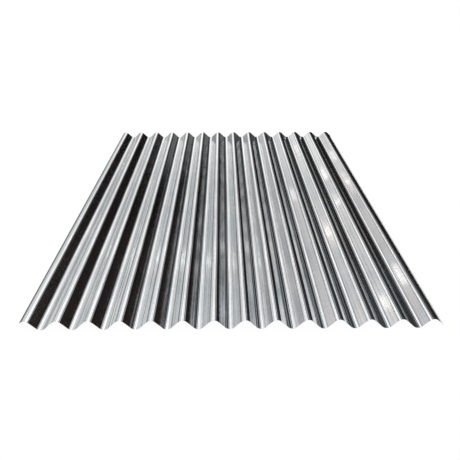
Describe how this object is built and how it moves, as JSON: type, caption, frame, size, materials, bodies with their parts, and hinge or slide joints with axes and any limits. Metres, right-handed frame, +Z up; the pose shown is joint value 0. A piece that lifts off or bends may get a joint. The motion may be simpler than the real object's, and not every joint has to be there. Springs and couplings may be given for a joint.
{
  "type": "corrugated metal sheet",
  "caption": "Rectangular sheet of galvanised steel roll-formed into even rounded corrugations along its length, for roofing, cladding and fencing.",
  "frame": {"origin": "bottom centre of the sheet as it lies, on the plane that its troughs rest on", "axes": "+Z up, out of the face with the crests; +Y along the corrugations; +X across them, from the short turned-down edge to the long one"},
  "size_m": [0.9132, 1.524, 0.0222],
  "materials": {
    "galvanised_steel": "bright zinc coating with fine lengthwise drawn lines and faint spangle"
  },
  "bodies": {
    "root": {"corrugated_sheet": "galvanised_steel"}
  },
  "joints": []
}
